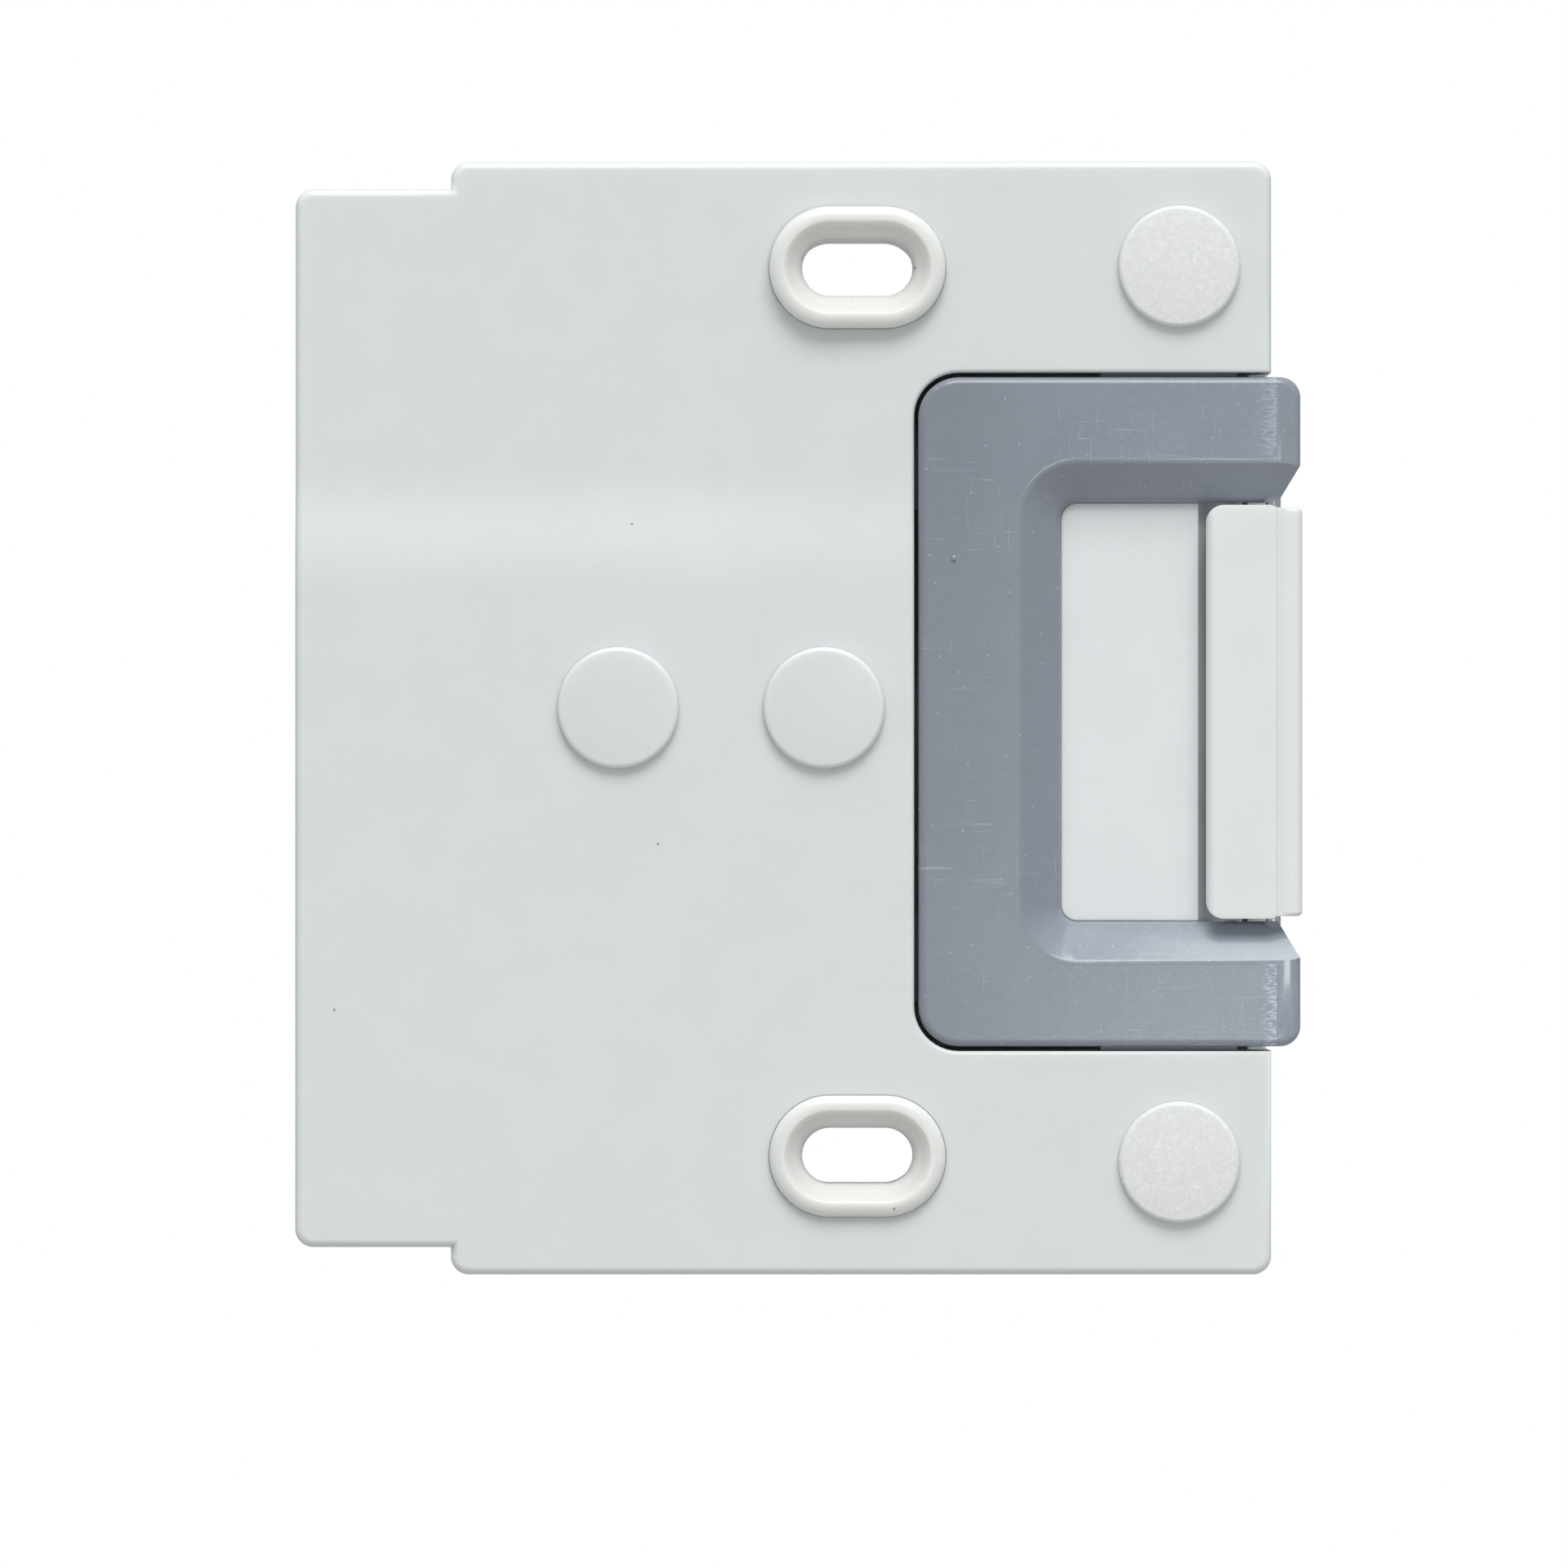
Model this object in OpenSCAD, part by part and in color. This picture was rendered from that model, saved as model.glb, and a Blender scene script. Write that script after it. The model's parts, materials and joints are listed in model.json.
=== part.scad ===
// Stair gate latch: the wall-side keeper of a swing gate, built from separate pieces.
// The gate's sprung bolt rides over the pivoted pawl and drops into the pocket.
// Pressing the open side of the C-shaped lever swings pawl and pocket inwards and frees the bolt.
// Frame: X right, Y into the wall (wall face at Y = 0, front faces -Y), Z up. Millimetres.
// Origin: on the wall face, midway between the two screw slots.

/* [Housing] */
// Left edge of the main plate along X
plate_x0 = -40.1; // [-60:0.1:-30]
// Right edge of the main plate along X
plate_x1 = 40.8; // [35:0.1:50]
// Height of the main plate along Z
plate_h = 109.8; // [90:0.1:130]
// How far the plate's middle sits below the line midway between the screw slots
plate_drop = 0.6; // [0:0.1:2]
// Left edge of the narrower end of the plate along X
tongue_x0 = -55.45; // [-80:0.05:-45]
// Height of the narrower end along Z
tongue_h = 104.4; // [80:0.1:125]
// Corner radius of the plate outline
corner_r = 1.8; // [0.8:0.1:4]
// Depth from the wall face to the front of the cover
body_d = 20; // [18:0.5:28]
// Thickness of the cover's front wall
cover_t = 2; // [1.5:0.1:3]
// Thickness of the cover's side walls
wall_t = 1.8; // [1.2:0.1:2.6]
// Thickness of the back plate
base_t = 2.5; // [2:0.1:4]
// Height of the sill left in the right-hand wall under the lever
sill_h = 5.5; // [4:0.1:6]
// Gap all round the back plate inside the cover
base_gap = 0.05; // [0.05:0.05:0.4]

// Depth of the shallow ramped recess at the upper left of the cover
recess_d = 1; // [0.4:0.1:1.2]
// Where the recess runs out to nothing along X
recess_x1 = 20; // [5:1:30]
// Where the recess reaches its full depth along X
recess_x0 = -15; // [-30:1:0]
// Lower edge of the ramp along Z
ramp_z = 12.6; // [5:0.1:20]
// Width of the ramp along Z
ramp_w = 12; // [8:0.5:18]

/* [Wall screws and pads] */
// Distance between the two screw slots along Z
slot_pitch = 87.6; // [70:0.1:100]
// Width of a screw slot, for a 4.5 to 5 mm wall screw
slot_w = 5.5; // [4:0.1:7]
// Widening of a slot's bore behind its throat
bore_step = 0.45; // [0:0.05:0.6]
// Half the distance between the centres of a slot's round ends
slot_half = 2.7; // [1:0.1:5]
// Outer radius of a collar's rim
collar_r = 6; // [5:0.1:8]
// Radius of a collar's shank
shank_r = 4.3; // [3.5:0.1:5]
// Height of a collar's crest above the cover
collar_rise = 1.2; // [0.6:0.1:2]
// Depth of the seat that a collar's rim is let into
seat_d = 1.2; // [1:0.1:1.5]
// Radius of the round pads
pad_r = 6; // [4:0.1:8]
// Height of a pad above the cover
pad_rise = 1; // [0.5:0.1:2]
// Radius of a pad's stem
stem_r = 2.25; // [1.5:0.05:3]

/* [Release lever] */
// Left edge of the lever along X
lever_x0 = 6; // [4:0.1:12]
// Right end of the lever's arms along X
lever_x1 = 43.7; // [40:0.1:50]
// Height of the lever along Z
lever_h = 66; // [50:0.5:80]
// Gap between the lever and its opening in the cover
lever_gap = 0.45; // [0.35:0.05:1]
// How far the lever stands proud of the cover
lever_proud = 0.2; // [0:0.1:0.8]
// Thickness of the lever's face
lever_t = 4; // [3:0.1:6]
// Left edge of the bolt pocket along X
pocket_x0 = 20.1; // [15:0.1:25]
// Half the height of the bolt pocket
pocket_half = 20.7; // [15:0.1:26]
// Corner radius of the pocket
pocket_r = 1.6; // [1:0.1:3]
// Width of the slope round the pocket
bevel_w = 4; // [2:0.1:6]
// Angle between the slope and the lever's face
bevel_angle = 37; // [25:1:42]
// Radius of the shoulder where the slope turns down into the pocket
shoulder_r = 1.5; // [1:0.1:2.5]
// Width of the inclined strip at the ends of the arms
strip_w = 2.4; // [1.5:0.1:3]
// Angle of the inclined strip
strip_angle = 10; // [5:1:20]

/* [Pawl] */
// Left edge of the pawl along X
pawl_x0 = 34.4; // [30:0.1:38]
// Half the height of the pawl bar
pawl_half = 20.4; // [15:0.1:25]
// Thickness of the pawl bar
pawl_t = 2.8; // [2:0.1:3.5]
// Radius of the pawl's rounded nose
nose_r = 0.9; // [0.3:0.1:1]
// Half the height of the pawl's lip
lip_half = 20.15; // [15:0.05:25]
// Radius of the pawl's barrel
barrel_r = 2.8; // [2:0.1:3.2]
// Radius of the pawl pin
pawl_pin_r = 0.75; // [0.6:0.05:1.2]
// Radial clearance of the parts that turn on pins
run_gap = 0.05; // [0.02:0.01:0.1]

/* [Hidden] */
$fn = 64;
eps = 0.01;
front_y = -body_d;
inner_y = front_y + cover_t;
slot_z = slot_pitch / 2;
slot_r = slot_w / 2;
corner_pad_x = 31.7;
corner_pads_z = [-44.4, 43.9];
centre_pads_x = [-23.6, -3.3];
centre_pads_z = 0.4;
case_points = [[-48.5, 42], [-48.5, -42], [-18, 26], [-18, -26], [18, 46.5], [18, -46.5]];
boss_end_y = -4.2;
lever_top = front_y - lever_proud;
lever_under = lever_top + lever_t;
lever_half = lever_h / 2;
pivot_x = 1;
pivot_y = -10;
pivot_r = 2;
lug_r = 4;
lug_z = [20, 28.6];
post_z = [29, 33];
pin_x = lever_x1 - 2.6;
pin_y = front_y + 3.15;
boss_r = lever_x1 - pin_x;
arm_boss_z = [pocket_half, 28.7];
slope_w = bevel_w - shoulder_r * (1 - sin(bevel_angle));
floor_y = lever_top + slope_w * tan(bevel_angle) + shoulder_r * cos(bevel_angle);
flange_y = lever_under + 1.6;
tray_end = pawl_x0 - 0.66;
ledge_y = floor_y + 1.2;
ledge_x1 = pawl_x0 + 0.15;
shelf_y = lever_under + 4.9;
shelf_t = 2;
shelf_x1 = 38.2;
cheek_z = [22.8, 24.4];
tray_screws_at = [[14.6, 12], [14.6, -12], [23.5, 27], [23.5, -27]];
spring_x = 33;
spring_z = 27.9;
pawl_top = front_y + 0.2;
pawl_under = pawl_top + pawl_t;
groove_x = 41.5;
pawl_spring_x = 36.95;
pawl_spring_z = 10;
white = [0.87, 0.88, 0.88];
pale = [0.83, 0.85, 0.85];
grey = [0.55, 0.58, 0.62];
steel = [0.68, 0.69, 0.71];

// A flat shape drawn in X and Z, thickened from y0 (front) to y1 (back).
module slab(y0, y1) {
    translate([0, y1, 0]) rotate([90, 0, 0]) linear_extrude(height = y1 - y0) children();
}

// A flat shape drawn in X and Y, thickened along Z from z0 to z1.
module bar_z(z0, z1) {
    translate([0, 0, z0]) linear_extrude(height = z1 - z0) children();
}

// Rectangle with rounded corners.
module rrect(x0, x1, z0, z1, r) {
    translate([x0 + r, z0]) square([x1 - x0 - 2 * r, z1 - z0]);
    translate([x0, z0 + r]) square([x1 - x0, z1 - z0 - 2 * r]);
    for (x = [x0 + r, x1 - r])
        for (z = [z0 + r, z1 - r])
            translate([x, z]) circle(r = r);
}

// Plain rectangle by its corners.
module rect(x0, x1, z0, z1) {
    translate([x0, z0]) square([x1 - x0, z1 - z0]);
}

// Long rounded slot, centred, its round ends of radius r centred a either side.
module track(a, r) {
    translate([-a, -r]) square([2 * a, 2 * r]);
    for (s = [-1, 1]) translate([s * a, 0]) circle(r = r);
}

// Rod along Y at x, z.
module rod_y(x, z, r, y0, y1) {
    translate([x, y1, z]) rotate([90, 0, 0]) cylinder(r = r, h = y1 - y0);
}

// Rod along Z at x, y.
module rod_z(x, y, r, z0, z1) {
    translate([x, y, z0]) cylinder(r = r, h = z1 - z0);
}

// Something on both sides of the middle, mirrored across Z = 0.
module both_z() {
    children();
    mirror([0, 0, 1]) children();
}

// Outline of the housing, drawn in by a distance.
module outline(inset) {
    h = plate_h / 2 - inset;
    t = tongue_h / 2 - inset;
    r = max(corner_r - inset, 0.4);
    translate([0, -plate_drop]) {
        rrect(plate_x0 + inset, plate_x1 - inset, -h, h, r);
        rrect(tongue_x0 + inset, plate_x0 + inset + 6, -t, t, r);
    }
}

module front_cover() {
    color(white) difference() {
        union() {
            difference() {
                slab(front_y, 0) outline(0);
                slab(inner_y, 1) outline(wall_t);
            }
            // bosses for the case screws
            for (p = case_points) rod_y(p[0], p[1], 3.5, inner_y - 0.5, boss_end_y);
            // stiffening ribs
            both_z() slab(inner_y - 0.5, inner_y + 4) rect(plate_x0 + 1, plate_x1 - 1, 36, 37.4);
            slab(inner_y - 0.5, inner_y + 4) rect(-12.7, -11.3, -36.7, 36.7);
            // ledge in front of the back plate's edge at the open side
            slab(-base_t - 0.85, -base_t - 0.05)
                rect(plate_x1 - wall_t - 1, plate_x1 - wall_t + 0.2, -45, 45);
            // stiff rings round the pad stems
            for (x = centre_pads_x) rod_y(x, centre_pads_z, 3.8, inner_y - 0.5, inner_y + 1.4);
            for (z = corner_pads_z) rod_y(corner_pad_x, z, 3.8, inner_y - 0.5, inner_y + 1.4);
        }
        // opening for the lever, through the front and the right-hand wall
        slab(front_y - 1, -sill_h)
            rrect(lever_x0 - 0.4, 80, -lever_half - lever_gap, lever_half + lever_gap, 4.4);
        ramped_recess();
        // seats for the collars and the pads
        for (s = [-1, 1]) {
            slab(front_y - 1, inner_y + 1) translate([0, s * slot_z]) track(slot_half, shank_r + 0.1);
            slab(front_y - 1, front_y + seat_d) translate([0, s * slot_z]) track(slot_half, collar_r + 0.05);
        }
        for (x = centre_pads_x) rod_y(x, centre_pads_z, stem_r + 0.05, front_y - 1, inner_y + 2);
        for (z = corner_pads_z) rod_y(corner_pad_x, z, stem_r + 0.05, front_y - 1, inner_y + 2);
        // screw holes
        for (p = case_points) rod_y(p[0], p[1], 1.3, -14, 0);
    }
}

// Shallow recess that deepens to the left above a ramp.
module ramped_recess() {
    left = tongue_x0 - 10;
    intersection() {
        bar_z(0, plate_h)
            polygon([[recess_x1, front_y], [recess_x0, front_y + recess_d], [left, front_y + recess_d],
                [left, front_y - 1], [recess_x1, front_y - 1]]);
        translate([left, 0, 0]) rotate([90, 0, 90]) linear_extrude(height = recess_x1 - left)
            polygon([[front_y, ramp_z], [front_y + recess_d + 1, ramp_z + ramp_w * (recess_d + 1)],
                [front_y + recess_d + 1, plate_h], [front_y - 1, plate_h], [front_y - 1, ramp_z]]);
    }
}

module back_plate() {
    color(pale) difference() {
        union() {
            slab(-base_t, 0) outline(wall_t + base_gap);
            for (p = case_points) rod_y(p[0], p[1], 4.6, boss_end_y, -base_t + 0.5);
            // guides round the collars' shanks
            for (s = [-1, 1]) slab(-9, -base_t + 0.5) translate([0, s * slot_z]) track(slot_half, 6);
            // pedestals for the pivot pin
            both_z() bar_z(post_z[0], post_z[1]) pedestal();
            bar_z(-4, 4) pedestal();
            // posts inside the return springs
            both_z() rod_y(spring_x, spring_z, 2, -7.5, -base_t + 0.5);
            // ribs that stop the lever
            both_z() slab(-7.5, -base_t + 0.5) rect(34, 37.6, 31, 33.3);
        }
        for (s = [-1, 1]) slab(-10, 1) translate([0, s * slot_z]) track(slot_half, shank_r + 0.1);
        for (p = case_points) {
            rod_y(p[0], p[1], 1.6, -6, 1);
            rod_y(p[0], p[1], 3.1, -2.2, 1);
        }
        rod_z(pivot_x, pivot_y, pivot_r + 0.02, -40, 40);
    }
}

// Outline of a pivot pedestal in X and Y.
module pedestal() {
    translate([pivot_x, pivot_y]) circle(r = lug_r);
    translate([pivot_x - lug_r, pivot_y]) square([2 * lug_r, -pivot_y - base_t + 0.5]);
}

// Section of a collar: distance from the slot's line, height above the wall.
module collar_section() {
    polygon([[slot_r + bore_step, 0], [shank_r, 0], [shank_r, body_d - seat_d], [collar_r, body_d - seat_d],
        [collar_r, body_d + 0.6], [collar_r - 0.3, body_d + 0.95], [collar_r - 0.8, body_d + 1.12],
        [collar_r - 1.35, body_d + collar_rise], [collar_r - 1.6, body_d + 1.1],
        [slot_r + 0.6, body_d - 0.2], [slot_r + 0.15, body_d - 0.8], [slot_r, body_d - 1.3],
        [slot_r, body_d - 4.5], [slot_r + bore_step, body_d - 5]]);
}

// Collar swept round the slot's line.
module collar() {
    rotate([90, 0, 0]) {
        for (s = [0, 1])
            rotate([0, 0, 180 * s]) {
                translate([slot_half, 0, 0]) rotate([0, 0, -90])
                    rotate_extrude(angle = 180) collar_section();
                translate([-slot_half, 0, 0]) rotate([90, 0, 90])
                    linear_extrude(height = 2 * slot_half) collar_section();
            }
    }
}

module screw_collar_upper() {
    color(white) translate([0, 0, slot_z]) collar();
}

module screw_collar_lower() {
    color(white) translate([0, 0, -slot_z]) collar();
}

// Round pad with a rounded rim and a stem that plugs into the cover.
module pad() {
    e = 0.85;
    rim = [for (a = [90:-15:0]) [pad_r - e + e * cos(a), pad_rise - e + e * sin(a)]];
    translate([0, front_y, 0]) rotate([90, 0, 0]) rotate_extrude()
        polygon(concat([[0, pad_rise]], rim, [[pad_r, 0], [stem_r, 0], [stem_r, -3], [stem_r - 0.4, -3.6],
            [0, -3.6]]));
}

module corner_pad_upper() {
    color(white) translate([corner_pad_x, 0, corner_pads_z[1]]) pad();
}

module corner_pad_lower() {
    color(white) translate([corner_pad_x, 0, corner_pads_z[0]]) pad();
}

module centre_pad_left() {
    color(white) translate([centre_pads_x[0], 0, centre_pads_z]) pad();
}

module centre_pad_right() {
    color(white) translate([centre_pads_x[1], 0, centre_pads_z]) pad();
}

// Plain pin with chamfered ends along Z.
module pin(x, y, r, half) {
    c = r * 0.3;
    rod_z(x, y, r, -half + c, half - c);
    translate([x, y, half - c]) cylinder(r1 = r, r2 = r - c, h = c);
    translate([x, y, -half]) cylinder(r1 = r - c, r2 = r, h = c);
}

module pivot_pin() {
    color(steel) pin(pivot_x, pivot_y, pivot_r, 35);
}

// Open retaining ring round a pin along Z.
module clip(x, y, r, rim, z0, t) {
    difference() {
        rod_z(x, y, rim, z0, z0 + t);
        rod_z(x, y, r + 0.02, z0 - 1, z0 + t + 1);
        translate([x - r * 0.6, y, z0 - 1]) cube([r * 1.2, rim + 1, t + 2]);
    }
}

module pivot_clip_upper() {
    color(steel) clip(pivot_x, pivot_y, pivot_r, 3.7, post_z[1] + 0.05, 0.8);
}

module pivot_clip_lower() {
    color(steel) mirror([0, 0, 1]) clip(pivot_x, pivot_y, pivot_r, 3.7, post_z[1] + 0.05, 0.8);
}

// Coil spring along Y from y0 (front) to y1 (back): mean radius r, round wire, flat ground ends.
module coil(x, z, r, wire, turns, y0, y1) {
    len = y1 - y0;
    pitch = len / turns;
    slope = atan(pitch / (2 * PI * r));
    half = wire / 2 / sin(slope) / r * 180 / PI;
    n = 4;
    outer = [for (i = [-n:n]) let (a = half * sin(90 * i / n), e = wire / 2 * cos(90 * i / n))
        (r + e) * [cos(a), sin(a)]];
    inner = [for (i = [n - 1:-1:1 - n]) let (a = half * sin(90 * i / n), e = wire / 2 * cos(90 * i / n))
        (r - e) * [cos(a), sin(a)]];
    translate([x, y1, z]) rotate([90, 0, 0])
        linear_extrude(height = len, twist = -360 * turns, slices = ceil(12 * turns), $fn = 0)
            polygon(concat(outer, inner));
}

module return_spring_upper() {
    color(steel) coil(spring_x, spring_z, 2.75, 0.8, 5, lever_under, -base_t);
}

module return_spring_lower() {
    color(steel) coil(spring_x, -spring_z, 2.75, 0.8, 5, lever_under, -base_t);
}

// Pan-head screw along Y, head towards the wall, with a cross recess.
module screw(x, z, r, head_r, head_y, head_t, tip_y) {
    difference() {
        union() {
            rod_y(x, z, head_r, head_y - head_t, head_y);
            rod_y(x, z, r, tip_y + r, head_y - head_t + 0.1);
            translate([x, tip_y + r, z]) rotate([90, 0, 0]) cylinder(r1 = r, r2 = r * 0.3, h = r);
        }
        for (a = [0, 90])
            translate([x, head_y, z]) rotate([0, a, 0])
                cube([head_r * 1.1, head_t * 1.1, head_r * 0.28], center = true);
    }
}

module case_screws() {
    color(steel) for (p = case_points) screw(p[0], p[1], 1.25, 2.7, -0.4, 1.8, -12.5);
}

// Outline of the lever's face in X and Z, without its pocket.
module lever_face() {
    rrect(lever_x0, lever_x1 - 8, -lever_half, lever_half, 4);
    rrect(lever_x0 + 10, lever_x1, -lever_half, lever_half, 2);
}

// Section of the slope round the pocket: distance out from its wall, depth along Y.
function slope_section() = concat(
    [[bevel_w + 0.3 / tan(bevel_angle), lever_top - 0.3], [bevel_w, lever_top]],
    [for (i = [0:8]) let (a = bevel_angle + (90 - bevel_angle) * i / 8)
        [shoulder_r * (1 - sin(a)), floor_y - shoulder_r * cos(a)]]);

// The slope cut round the left, upper and lower sides of the pocket.
module funnel() {
    section = slope_section();
    top = lever_top - 0.3;
    cx = pocket_x0 + pocket_r;
    cz = pocket_half - pocket_r;
    bar_z(-cz, cz)
        polygon(concat([[70, top]], [for (p = section) [pocket_x0 - p[0], p[1]]], [[70, floor_y]]));
    translate([cx, 0, 0]) rotate([90, 0, 90]) linear_extrude(height = 60)
        polygon(concat([for (p = section) [p[1], pocket_half + p[0]]],
            [for (i = [len(section) - 1:-1:0]) [section[i][1], -pocket_half - section[i][0]]]));
    for (s = [-1, 1]) translate([cx, 0, s * cz]) rotate([90, 0, 0])
        rotate_extrude() polygon(concat([[0, -top]], [for (p = section) [pocket_r + p[0], -p[1]]],
            [[0, -floor_y]]));
}

module release_lever() {
    color(grey) difference() {
        union() {
            slab(lever_top, lever_under) lever_face();
            // lips that stop against the inside of the cover
            both_z() slab(inner_y + 0.4, lever_under) rect(24, 37.5, lever_half - 1, lever_half + 2.2);
            // outer skirts of the arms
            both_z() slab(lever_under - 0.5, lever_under + 3.7)
                rect(lever_x0 + 2, lever_x1 - 2.2, lever_half - 1.6, lever_half);
            // bosses for the pawl pin
            both_z() rod_z(pin_x, pin_y, boss_r, arm_boss_z[0], arm_boss_z[1]);
            // hinge lugs
            both_z() bar_z(lug_z[0], lug_z[1]) {
                translate([pivot_x, pivot_y]) circle(r = lug_r);
                polygon([[lever_x0 + 0.5, lever_under - 0.5], [lever_x0 + 5.5, lever_under - 0.5],
                    [lever_x0 + 5.5, lever_under + 3.6], [pivot_x + 2.4, pivot_y + 3.1],
                    [pivot_x - 2.5, pivot_y - 3], [lever_x0 + 0.5, lever_under]]);
            }
            // pegs that hold the return springs
            both_z() rod_y(spring_x, spring_z, 2, lever_under - 0.5, lever_under + 1.8);
        }
        // pocket, its bevel and the chamfered mouth
        slab(lever_top - 1, lever_under + 1) rrect(pocket_x0, 70, -pocket_half, pocket_half, pocket_r);
        difference() {
            funnel();
            rod_z(pin_x, pin_y, pawl_pin_r + 0.25, -30, 30);
        }
        both_z() slab(lever_top - 1, lever_under + 4)
            polygon([[lever_x1 - 2.25, pocket_half - 0.2], [lever_x1 + 0.2, 24.7], [lever_x1 + 2, 24.7],
                [lever_x1 + 2, pocket_half - 0.2]]);
        // inclined strips at the ends of the arms
        bar_z(-40, 40) polygon([[lever_x1 - strip_w, lever_top],
            [lever_x1 + 1, lever_top + (strip_w + 1) * tan(strip_angle)], [lever_x1 + 1, lever_top - 1],
            [lever_x1 - strip_w, lever_top - 1]]);
        // bores for the pins
        rod_z(pivot_x, pivot_y, pivot_r + run_gap, -40, 40);
        rod_z(pin_x, pin_y, pawl_pin_r + 0.02, -29, 29);
        // space for the ends of the pawl pin and its clips
        both_z() slab(pin_y - 2.3, lever_under + 3) rect(pin_x - 2.3, pin_x + 1.9, arm_boss_z[1], 30.8);
        // holes for the tray screws
        for (p = tray_screws_at) rod_y(p[0], p[1], 1.15, lever_under - 2.8, lever_under + 1);
    }
}

module pocket_tray() {
    color(white) difference() {
        union() {
            // flange under the lever
            slab(lever_under, flange_y) {
                rrect(12, tray_end, -cheek_z[1], cheek_z[1], 1.5);
                rrect(20, 27, -30, 30, 1.5);
            }
            // raised floor of the pocket
            slab(floor_y, lever_under + 0.1) rrect(pocket_x0 + 0.05, tray_end, 0.05 - pocket_half,
                pocket_half - 0.05, pocket_r);
            slab(floor_y, lever_under + 0.1) rect(tray_end - 3, tray_end, 0.05 - pocket_half,
                pocket_half - 0.05);
            // ledge beside the pawl's nose and the shelf under the pawl
            slab(flange_y - 0.1, shelf_y + shelf_t) rect(tray_end - 1.8, tray_end, -cheek_z[1], cheek_z[1]);
            slab(ledge_y, shelf_y + shelf_t) rect(tray_end - 1, ledge_x1, -cheek_z[1], cheek_z[1]);
            slab(shelf_y, shelf_y + shelf_t) rect(tray_end - 1.8, shelf_x1, -cheek_z[1], cheek_z[1]);
            both_z() slab(lever_under, shelf_y + shelf_t)
                rect(tray_end - 1.8, shelf_x1, cheek_z[0], cheek_z[1]);
            // pegs inside the pawl springs
            for (s = [-1, 1])
                rod_y(pawl_spring_x, s * pawl_spring_z, 0.5, shelf_y - 1.2, shelf_y + 0.5);
        }
        for (p = tray_screws_at) rod_y(p[0], p[1], 1.35, lever_under - 1, flange_y + 3);
    }
}

module tray_screws() {
    color(steel) for (p = tray_screws_at)
        screw(p[0], p[1], 1.1, 2.1, flange_y + 1.4, 1.4, lever_under - 2.5);
}

module pawl_pin() {
    color(steel) pin(pin_x, pin_y, pawl_pin_r, 30);
}

module pawl_pin_clip_upper() {
    color(steel) clip(pin_x, pin_y, pawl_pin_r, 1.8, arm_boss_z[1] + 0.05, 0.6);
}

module pawl_pin_clip_lower() {
    color(steel) mirror([0, 0, 1]) clip(pin_x, pin_y, pawl_pin_r, 1.8, arm_boss_z[1] + 0.05, 0.6);
}

module pawl_spring_upper() {
    color(steel) coil(pawl_spring_x, pawl_spring_z, 0.92, 0.35, 5, pawl_under, shelf_y);
}

module pawl_spring_lower() {
    color(steel) coil(pawl_spring_x, -pawl_spring_z, 0.92, 0.35, 5, pawl_under, shelf_y);
}

// Section of the pawl's bar in X and Y, with its rounded and thinned nose.
module bar_section() {
    nose = [for (a = [0:15:90]) [pawl_x0 + nose_r * (1 - cos(a)), pawl_top + nose_r * (1 - sin(a))]];
    polygon(concat(nose, [[groove_x - 0.3, pawl_top], [groove_x, pawl_top + 0.38], [groove_x, pawl_under],
        [pawl_x0 + 1.5, pawl_under], [pawl_x0 + 0.2, pawl_under - 1.5], [pawl_x0, pawl_under - 1.7]]));
}

// Section of the pawl's lip and barrel in X and Y.
module lip_section() {
    r = 0.9;
    top = pawl_top + 0.3;
    end = pin_x + barrel_r;
    translate([pin_x, pin_y]) circle(r = barrel_r);
    translate([end - r, top + r]) circle(r = r);
    polygon([[groove_x - 0.1, pin_y], [groove_x - 0.1, top + 0.2], [groove_x, top + 0.08],
        [groove_x + 0.15, top], [end - r, top], [end - r, pin_y]]);
    rect(end - r - 0.1, end, top + r, pin_y);
}

module latch_pawl() {
    color(white) difference() {
        union() {
            // bar that holds the bolt
            intersection() {
                bar_z(-pawl_half, pawl_half) bar_section();
                slab(pawl_top - 1, pawl_under + 1) {
                    rrect(pawl_x0, pawl_x0 + 6, -pawl_half, pawl_half, 1.75);
                    polygon([[pawl_x0 + 3, -pawl_half], [pin_x - 0.4, -pawl_half], [groove_x, -lip_half],
                        [groove_x, lip_half], [pin_x - 0.4, pawl_half], [pawl_x0 + 3, pawl_half]]);
                }
            }
            bar_z(-lip_half, lip_half) lip_section();
            // ears that stop against the underside of the arms
            both_z() slab(pawl_under - 0.5, lever_under + 1.6) rect(36.2, 37.8, 18.4, pawl_half - 0.1);
            both_z() slab(lever_under + 0.4, lever_under + 1.6) rect(36.2, 37.8, 18.4, 22.4);
            // stiffening ribs under the bar
            for (z = [-15, -5, 5, 15])
                slab(pawl_under - 0.5, pawl_under + 1.3) rect(35.9, pin_x - 1.5, z - 0.6, z + 0.6);
        }
        rod_z(pin_x, pin_y, pawl_pin_r + run_gap, -40, 40);
    }
}

front_cover();
back_plate();
screw_collar_upper();
screw_collar_lower();
corner_pad_upper();
corner_pad_lower();
centre_pad_left();
centre_pad_right();
pivot_pin();
pivot_clip_upper();
pivot_clip_lower();
return_spring_upper();
return_spring_lower();
case_screws();
release_lever();
pocket_tray();
tray_screws();
pawl_pin();
pawl_pin_clip_upper();
pawl_pin_clip_lower();
pawl_spring_upper();
pawl_spring_lower();
latch_pawl();
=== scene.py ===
"""Stair gate latch: looks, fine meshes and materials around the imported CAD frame.
Metres, +Z up. The front faces -Y, the wall is at y = 0."""
import json
import math

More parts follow.
